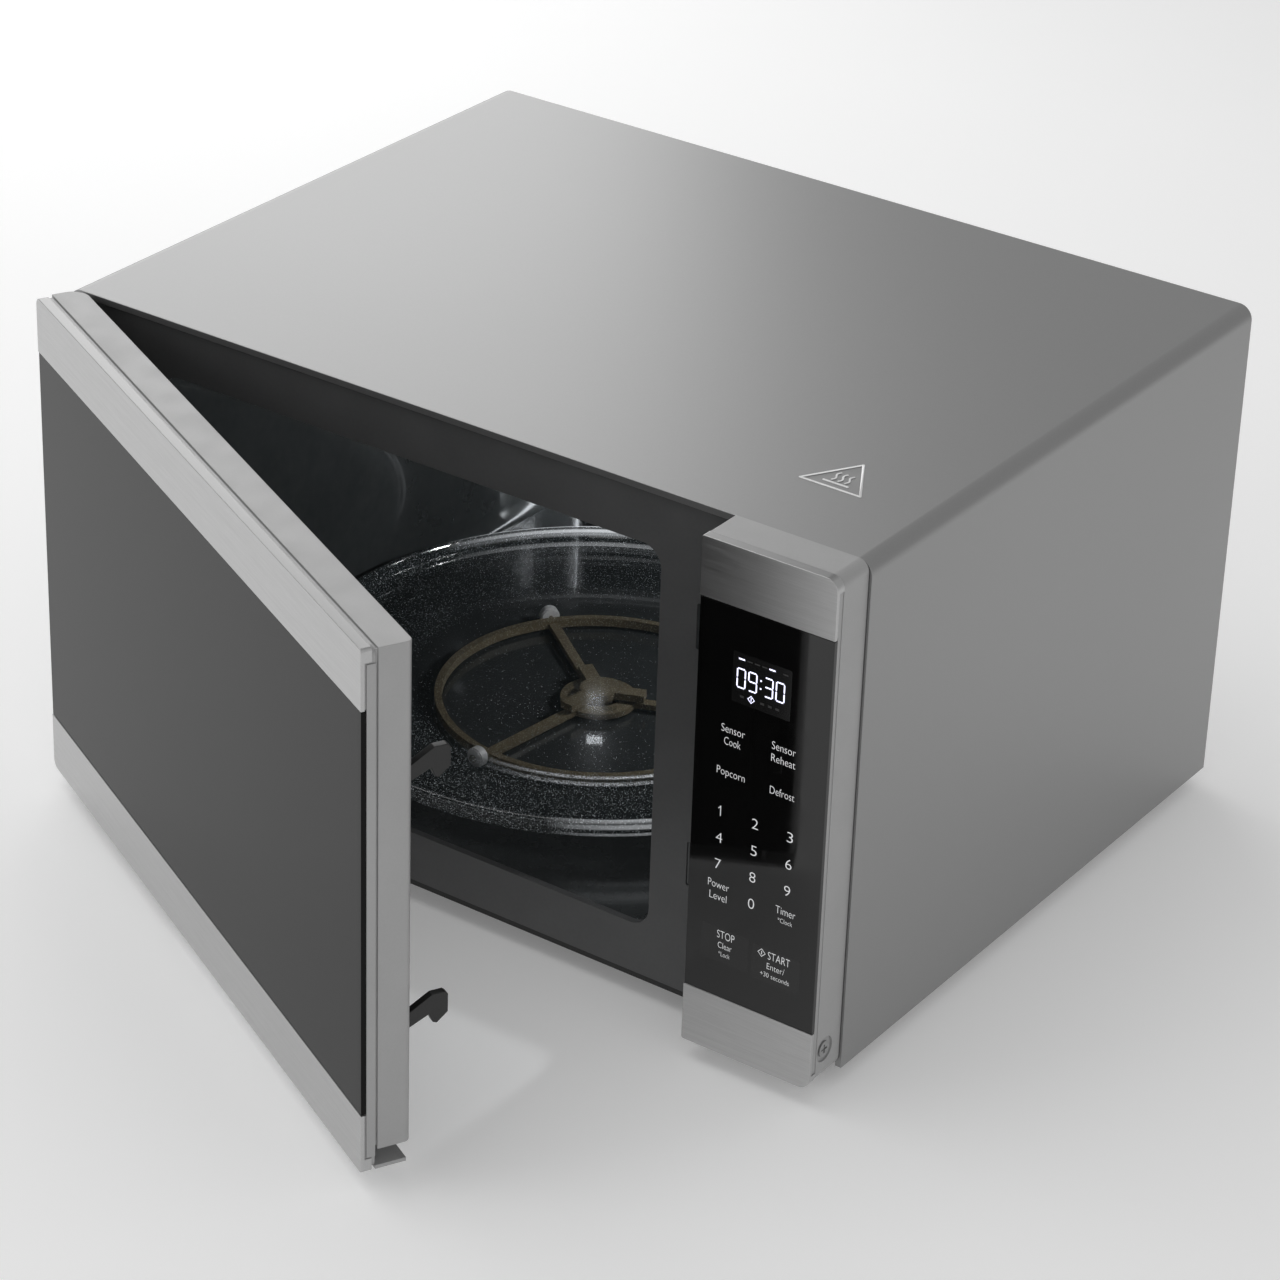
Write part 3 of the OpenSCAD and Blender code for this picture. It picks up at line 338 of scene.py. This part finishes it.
paints = {
    "cabinet_paint": cabinet_paint("cabinet_paint"),
    "steel_strip": brushed("steel_panel", False),
    "steel_door": brushed("steel_door", True),
    "grey_plastic": varied("grey_plastic", tint(0.385), tint(0.415), 0.42, 1500.0, 0.05, Metallic=0.25),
    "door_cover": door_cover("door_cover"),
    "black_plastic": varied("black_plastic", tint(0.008), tint(0.014), 0.34, 1200.0, 0.08),
    "front_plate_paint": varied("front_plate_paint", tint(0.094, -0.01), tint(0.110, -0.01),
                                0.40, 1100.0, 0.06, Metallic=0.3),
    "enamel": varied("enamel", (0.036, 0.039, 0.040), (0.048, 0.052, 0.053), 0.20, 260.0, 0.04, 0.0003,
                     Coat_Weight=0.5),
    "gloss_enamel": varied("gloss_enamel", tint(0.030), tint(0.040), 0.09, 260.0, 0.01, 0.0002),
    "galvanised": galvanised("galvanised"),
    "base_paint": varied("base_paint", tint(0.010), tint(0.015), 0.42, 900.0, 0.05),
    "door_glass": door_glass("door_glass"),
    "panel_glass": touch_glass("panel_glass"),
    "tray_glass": speckled_glass("tray_glass"),
    "window_film": window_film("window_film"),
    "screen": perforated("screen"),
    "rubber": varied("rubber", tint(0.012), tint(0.022), 0.75, 700.0, 0.15),
    "tan_plastic": speckled_plastic("tan_plastic"),
    "white_plastic": varied("white_plastic", tint(0.72), tint(0.80), 0.35, 700.0, 0.04),
    "mica": varied("mica", (0.40, 0.35, 0.24), (0.52, 0.46, 0.34), 0.35, 500.0, 0.08),
    "bare_steel": varied("bare_steel", tint(0.30), tint(0.42), 0.32, 800.0, 0.06, Metallic=1.0),
    "aluminium": varied("aluminium", tint(0.60), tint(0.70), 0.38, 800.0, 0.06, Metallic=1.0),
    "copper_tube": varied("copper_tube", (0.42, 0.18, 0.09), (0.55, 0.26, 0.13), 0.32, 600.0, 0.05,
                          Metallic=1.0),
    "circuit_board": circuit("circuit_board"),
    "ivory_plastic": varied("ivory_plastic", (0.60, 0.59, 0.54), (0.68, 0.67, 0.62), 0.42, 800.0, 0.05),
    "display": varied("display", tint(0.004), tint(0.007), 0.15, 500.0, 0.02),
    "spring_steel": varied("spring_steel", tint(0.35), tint(0.48), 0.28, 900.0, 0.04, Metallic=1.0),
}


def dress(obj, paint):
    """Give an object one paint."""
    obj.data.materials.clear()
    obj.data.materials.append(paint.material)


slot_of = {s["node"]: s["material_slot"] for s in frame["record"]["subparts"]}


def paint_of(node):
    """The paint of a CAD node, from its slot in the record."""
    name = slot_of[node]
    if node == "door_inner_cover":
        return paints["door_cover"]
    return paints["steel_door" if name == "steel_strip" and node_body[node] == "door" else name]


for name, obj in nodes.items():
    dress(obj, paint_of(name))


# ---------- pieces ----------

def piece(name, bm, body, paint, smooth=None):
    """New visible object from a bmesh, riding on a CAD body."""
    mesh = bpy.data.meshes.new(name)
    bm.to_mesh(mesh)
    bm.free()
    if smooth is not None:
        for face in mesh.polygons:
            face.use_smooth = True
        mesh.set_sharp_from_angle(angle=math.radians(smooth))
    obj = bpy.data.objects.new(name, mesh)
    bpy.context.scene.collection.objects.link(obj)
    dress(obj, paint)
    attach(obj, body)
    return obj


PICTOGRAM_LEFT, PICTOGRAM_RIGHT = 0.205, 0.260
PICTOGRAM_FRONT, PICTOGRAM_BACK = -0.170, -0.120
PICTOGRAM_ABOVE = 0.350


def on_pictogram(edge):
    """Whether an edge belongs to the small raised pictogram on the cabinet's top."""
    middle = (edge.verts[0].co + edge.verts[1].co) / 2
    return (PICTOGRAM_LEFT < middle.x < PICTOGRAM_RIGHT and PICTOGRAM_FRONT < middle.y < PICTOGRAM_BACK
            and middle.z > PICTOGRAM_ABOVE)


def soften(node, width, clamp=False, segments=2, angle=30):
    """Copy of a CAD node with its sharp edges rounded off, shown in its place."""
    bm = bmesh.new()
    bm.from_mesh(nodes[node].data)
    bmesh.ops.remove_doubles(bm, verts=bm.verts, dist=2e-6)
    bmesh.ops.dissolve_limit(bm, angle_limit=math.radians(0.4), verts=bm.verts, edges=bm.edges)
    sharp = [e for e in bm.edges if len(e.link_faces) == 2 and e.calc_face_angle(0) > math.radians(angle)
             and not on_pictogram(e)]
    bmesh.ops.bevel(bm, geom=sharp, offset=width, offset_type="OFFSET", segments=segments, profile=0.5,
                    affect="EDGES", clamp_overlap=clamp)
    obj = piece(node + "_edged", bm, node_body[node], paint_of(node), smooth=46)
    weights = obj.modifiers.new("weights", "WEIGHTED_NORMAL")
    weights.keep_sharp = True
    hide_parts(node)
    return obj


for node, width in (("outer_cabinet", 0.00036), ("door_top_strip", 0.00036), ("door_bottom_strip", 0.00036),
                    ("panel_top_strip", 0.00036), ("panel_bottom_strip", 0.00036), ("door_frame", 0.0004),
                    ("door_inner_cover", 0.0005), ("panel_frame", 0.0005), ("door_glass", 0.0003),
                    ("panel_glass", 0.0003), ("latch_key", 0.0005), ("front_plate", 0.00018)):
    soften(node, width, clamp=node in ("door_frame", "panel_frame"))


def corner_cove(radius=0.008, steps=10):
    """Upright cove where the cavity's left and back walls meet."""
    lo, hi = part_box("cavity_liner")
    wall = 0.0009
    centre = Vector((lo.x + wall + radius, hi.y - wall - radius, 0))
    bm = bmesh.new()
    rows = []
    for z in (lo.z + 0.006, hi.z - 0.012):
        rows.append([bm.verts.new(centre + Vector((radius * math.cos(a), radius * math.sin(a), z)))
                     for a in (math.pi / 2 * (1 + i / steps) for i in range(steps + 1))])
    for i in range(steps):
        face = bm.faces.new((rows[0][i], rows[0][i + 1], rows[1][i + 1], rows[1][i]))
        face.normal_update()
        if face.normal.dot(centre - face.calc_center_median()) < 0:
            face.normal_flip()
    piece("corner_cove", bm, "chassis", paints["gloss_enamel"], smooth=60)


corner_cove()


# ---------- printing on the touch glass ----------

PRINT_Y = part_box("panel_glass")[0].y
PATCH_LIFT = 0.00003
PRINT_LIFT = 0.00006

# The printed legends are given a faint glow: painted light, as print gives none of its own.
ink = Paint("legend_ink", Roughness=0.5, Emission_Color=(0.9, 0.92, 0.95, 1), Emission_Strength=0.32)
ink.set("Base Color", ink.blend(ink.noise(900.0, 2.0), tint(0.60), tint(0.68)))
faint = Paint("faint_ink", Roughness=0.5)
faint.set("Base Color", faint.blend(faint.noise(900.0, 2.0), tint(0.030), tint(0.040)))
lit = Paint("lit_segment", Roughness=0.4, Emission_Color=(0.80, 0.80, 1.0, 1), Emission_Strength=1.25)
lit.set("Base Color", lit.blend(lit.noise(900.0, 2.0), (0.7, 0.7, 0.9), (0.8, 0.8, 1.0)))
patch = Paint("key_patch", Roughness=0.12)
patch.set("Base Color", patch.blend(patch.noise(400.0, 2.0), tint(0.015), tint(0.018)))
screen_paint = Paint("display_window", Roughness=0.16)
screen_paint.set("Base Color", screen_paint.blend(screen_paint.noise(400.0, 2.0), tint(0.0065), tint(0.0085)))


def flat(name, outlines, paint, lift):
    """Thin flat print on the glass from closed outlines of (x, z) in metres."""
    bm = bmesh.new()
    for outline in outlines:
        bm.faces.new([bm.verts.new((x, PRINT_Y - lift, z)) for x, z in outline])
    bmesh.ops.recalc_face_normals(bm, faces=bm.faces)
    for face in bm.faces:
        if face.normal.y > 0:
            face.normal_flip()
    return piece(name, bm, "chassis", paint)


def rect(x0, x1, z0, z1, r=0.0, n=4):
    """Outline of a rectangle, with rounded corners if r is given."""
    if r == 0:
        return [(x0, z0), (x1, z0), (x1, z1), (x0, z1)]
    points = []
    corners = ((x1 - r, z0 + r), (x1 - r, z1 - r), (x0 + r, z1 - r), (x0 + r, z0 + r))
    for quarter, (cx, cz) in enumerate(corners):
        for i in range(n + 1):
            a = math.radians(90 * (quarter - 1 + i / n))
            points.append((cx + r * math.cos(a), cz + r * math.sin(a)))
    return points


CAPITAL = 0.69  # capital height of the built-in typeface, per unit of its size


def label(name, words, x, z, width, height):
    """Lettering centred at (x, z), stretched to a width and a capital height, all in millimetres."""
    curve = bpy.data.curves.new(name, "FONT")
    curve.body = words
    curve.resolution_u = 4
    curve.offset = -0.011
    source = bpy.data.objects.new(name + "_source", curve)
    bpy.context.scene.collection.objects.link(source)
    bpy.context.view_layer.update()
    mesh = bpy.data.meshes.new_from_object(source.evaluated_get(bpy.context.evaluated_depsgraph_get()))
    bpy.data.objects.remove(source)
    bm = bmesh.new()
    bm.from_mesh(mesh)
    xs = [v.co.x for v in bm.verts]
    left, right = min(xs), max(xs)
    for v in bm.verts:
        across = (v.co.x - left) / (right - left) - 0.5
        upward = v.co.y / CAPITAL - 0.5
        v.co = Vector(((x + across * width) / 1000, PRINT_Y - PRINT_LIFT, (z + upward * height) / 1000))
    for face in bm.faces:
        face.normal_update()
        if face.normal.y > 0:
            face.normal_flip()
    return piece(name, bm, "chassis", ink)


flat("display_window", [rect(0.2337, 0.2742, 0.2562, 0.2892, 0.0008)], screen_paint, PATCH_LIFT)
flat("stop_patch", [rect(0.2202, 0.2542, 0.0773, 0.1013, 0.0012)], patch, PATCH_LIFT)
flat("start_patch", [rect(0.2566, 0.2906, 0.0760, 0.1000, 0.0012)], patch, PATCH_LIFT)

SEGMENTS = {"0": "abcdef", "9": "abcdfg", "3": "abcdg"}


def segment(which, x, z, w, h, t):
    """Outline of one bar of a seven-bar digit whose lower left corner is (x, z)."""
    mid = z + h / 2
    gap = t * 0.18
    if which in "adg":
        zc = {"a": z + h - t / 2, "d": z + t / 2, "g": mid}[which]
        a, b = x + t / 2 + gap, x + w - t / 2 - gap
        return [(a, zc), (a + t / 2, zc - t / 2), (b - t / 2, zc - t / 2), (b, zc), (b - t / 2, zc + t / 2),
                (a + t / 2, zc + t / 2)]
    xc = x + t / 2 if which in "ef" else x + w - t / 2
    a, b = (mid, z + h - t / 2) if which in "bf" else (z + t / 2, mid)
    a, b = a + gap, b - gap
    return [(xc, a), (xc + t / 2, a + t / 2), (xc + t / 2, b - t / 2), (xc, b), (xc - t / 2, b - t / 2),
            (xc - t / 2, a + t / 2)]


def ring(cx, cz, rx, rz, width):
    """Diamond outline as four bars."""
    pts = [(cx - rx, cz), (cx, cz - rz), (cx + rx, cz), (cx, cz + rz)]
    inner = [(cx + (px - cx) * (1 - width), cz + (pz - cz) * (1 - width)) for px, pz in pts]
    return [[pts[i], pts[(i + 1) % 4], inner[(i + 1) % 4], inner[i]] for i in range(4)]


digit_w, digit_h, bar = 0.0064, 0.0132, 0.00095
outlines = []
for digit, x in (("0", 0.2366), ("9", 0.2445), ("3", 0.2556), ("0", 0.2635)):
    outlines += [segment(s, x, 0.2662, digit_w, digit_h, bar) for s in SEGMENTS[digit]]
for z in (0.2700, 0.2752):
    outlines.append(rect(0.2528, 0.2539, z, z + 0.0011))
flat("clock_digits", outlines, lit, PRINT_LIFT)
marks = [rect(0.2376, 0.2418, 0.2848, 0.2858), rect(0.2586, 0.2628, 0.2848, 0.2858)]
marks += ring(0.2472, 0.2612, 0.0026, 0.0026, 0.24) + [rect(0.2469, 0.2475, 0.2600, 0.2624)]
flat("display_marks", marks, lit, PRINT_LIFT)
unlit = [rect(x, x + 0.0036, 0.2849, 0.2857) for x in (0.2435, 0.2486, 0.2537, 0.2680)]
unlit += [rect(x, x + 0.0026, 0.2604, 0.2618) for x in (0.2395, 0.2536, 0.2588, 0.2640)]
flat("unlit_marks", unlit, faint, PRINT_LIFT)

LABELS = (
    ("Sensor", 236.0, 236.8, 16.4, 5.2), ("Cook", 235.8, 228.6, 11.4, 5.2),
    ("Sensor", 271.2, 237.3, 16.4, 5.2), ("Reheat", 271.2, 229.1, 16.6, 5.2),
    ("Popcorn", 235.7, 208.0, 19.6, 5.2), ("Defrost", 271.6, 207.6, 17.0, 5.2),
    ("2", 254.2, 180.6, 4.4, 7.0), ("3", 278.6, 180.6, 4.2, 7.0),
    ("4", 229.6, 162.4, 4.5, 7.0), ("5", 254.2, 162.4, 4.3, 7.0), ("6", 278.6, 162.4, 4.3, 7.0),
    ("7", 229.6, 144.2, 4.3, 7.0), ("8", 254.2, 144.2, 4.3, 7.0), ("9", 278.6, 144.2, 4.3, 7.0),
    ("0", 254.2, 126.0, 4.4, 7.0),
    ("Power", 230.8, 130.2, 15.0, 5.2), ("Level", 230.8, 122.0, 12.2, 5.2),
    ("Timer", 278.3, 129.4, 13.8, 5.2), ("*Clock", 278.3, 122.6, 10.2, 3.1),
    ("STOP", 237.6, 96.6, 12.4, 5.4), ("Clear", 237.2, 89.2, 9.9, 4.3), ("*Lock", 237.0, 83.2, 8.0, 3.1),
    ("START", 275.6, 95.4, 15.6, 5.4), ("Enter/", 273.6, 88.0, 12.4, 4.3),
    ("+30 seconds", 273.2, 81.6, 20.4, 3.3),
)
for i, (words, x, z, width, height) in enumerate(LABELS):
    label(f"legend_{i + 1:02d}", words, x, z, width, height)
numeral_one = [rect(0.22955, 0.23015, 0.1771, 0.1841),
               [(0.2281, 0.1822), (0.2283, 0.1817), (0.2300, 0.1833), (0.2300, 0.1841)]]
flat("legend_one", numeral_one, ink, PRINT_LIFT)
start_mark = ring(0.2633, 0.0955, 0.0029, 0.0029, 0.20) + [rect(0.2630, 0.2636, 0.0943, 0.0967)]
flat("start_mark", start_mark, ink, PRINT_LIFT)


# ---------- stage, light and camera ----------

bm = bmesh.new()
bmesh.ops.create_grid(bm, x_segments=2, y_segments=2, size=6.0)
floor_mesh = bpy.data.meshes.new("floor")
bm.to_mesh(floor_mesh)
bm.free()
floor = bpy.data.objects.new("floor", floor_mesh)
floor.location.z = -0.0002
bpy.context.scene.collection.objects.link(floor)
ground = Paint("floor_paper", Roughness=0.9)
ground.set("Base Color", ground.blend(ground.noise(3.0), tint(0.90), tint(0.92)))
ground.set("Emission Color", tint(1.0) + (1.0,))
ground.shader.inputs["Emission Strength"].default_value = 0.16
dress(floor, ground)


def lamp(name, place, aim, size, power, colour=(1, 1, 1), lights_surfaces=True):
    """Rectangular lamp. Without lights_surfaces it only shows as a highlight."""
    data = bpy.data.lights.new(name, "AREA")
    data.shape = "RECTANGLE"
    data.size, data.size_y = size
    data.energy = power
    data.color = colour
    obj = bpy.data.objects.new(name, data)
    obj.location = place
    obj.rotation_euler = (Vector(aim) - Vector(place)).to_track_quat("-Z", "Y").to_euler()
    obj.visible_camera = False
    obj.visible_diffuse = lights_surfaces
    bpy.context.scene.collection.objects.link(obj)


lamp("overhead", (-0.9, -0.6, 2.6), (0, 0, 0.2), (2.2, 2.2), 16)
lamp("front_left", (-2.2, -2.6, 1.5), (0, -0.2, 0.2), (1.6, 1.6), 12)
lamp("right", (2.8, -0.6, 1.6), (0.3, 0, 0.2), (1.4, 1.4), 1.3)
lamp("back_left", (-1.45, 1.10, 1.0), (-0.1, 0, 0.3), (1.3, 1.2), 7.6)
lamp("front_right", (1.9, -2.7, 0.8), (0.2, -0.3, 0.15), (1.2, 1.2), 2.8)
lamp("cavity_lamp", (0.170, 0.140, 0.280), (-0.05, 0.02, 0.10), (0.05, 0.03), 0.85, (0.95, 0.98, 1.0))
lamp("corner_glint", (-0.226, 0.184, 0.092), (-0.249, 0.2065, 0.092), (0.008, 0.080), 0.30, (0.90, 0.95, 1.0),
     lights_surfaces=False)
lamp("wall_glint", (-0.185, 0.200, 0.223), (-0.03, -0.05, 0.07), (0.012, 0.006), 0.003, (0.90, 0.95, 1.0),
     lights_surfaces=False)

world = bpy.data.worlds.new("studio")
world.use_nodes = True
world.node_tree.nodes["Background"].inputs["Color"].default_value = (1, 1, 1, 1)
world.node_tree.nodes["Background"].inputs["Strength"].default_value = 0.46
bpy.context.scene.world = world
bpy.context.scene.view_settings.view_transform = "Standard"

RX, RY, RZ = 0.4799, 0.0347, 0.6009
forward = Vector((-math.sin(RZ) * math.cos(RX), math.cos(RZ) * math.cos(RX), -math.sin(RX)))
level = Vector((math.cos(RZ), math.sin(RZ), 0))
upright = level.cross(forward)
right = math.cos(RY) * level + math.sin(RY) * upright
up = right.cross(forward)
camera_data = bpy.data.cameras.new("camera")
camera_data.sensor_width = 36
camera_data.lens = 117.1125
camera_data.shift_y = -0.0625
camera_data.clip_end = 50
camera = bpy.data.objects.new("camera", camera_data)
turned = Matrix((right, up, -forward)).transposed().to_4x4()
camera.matrix_world = Matrix.Translation((1.3712, -2.0181, 1.4345)) @ turned
bpy.context.scene.collection.objects.link(camera)
bpy.context.scene.camera = camera
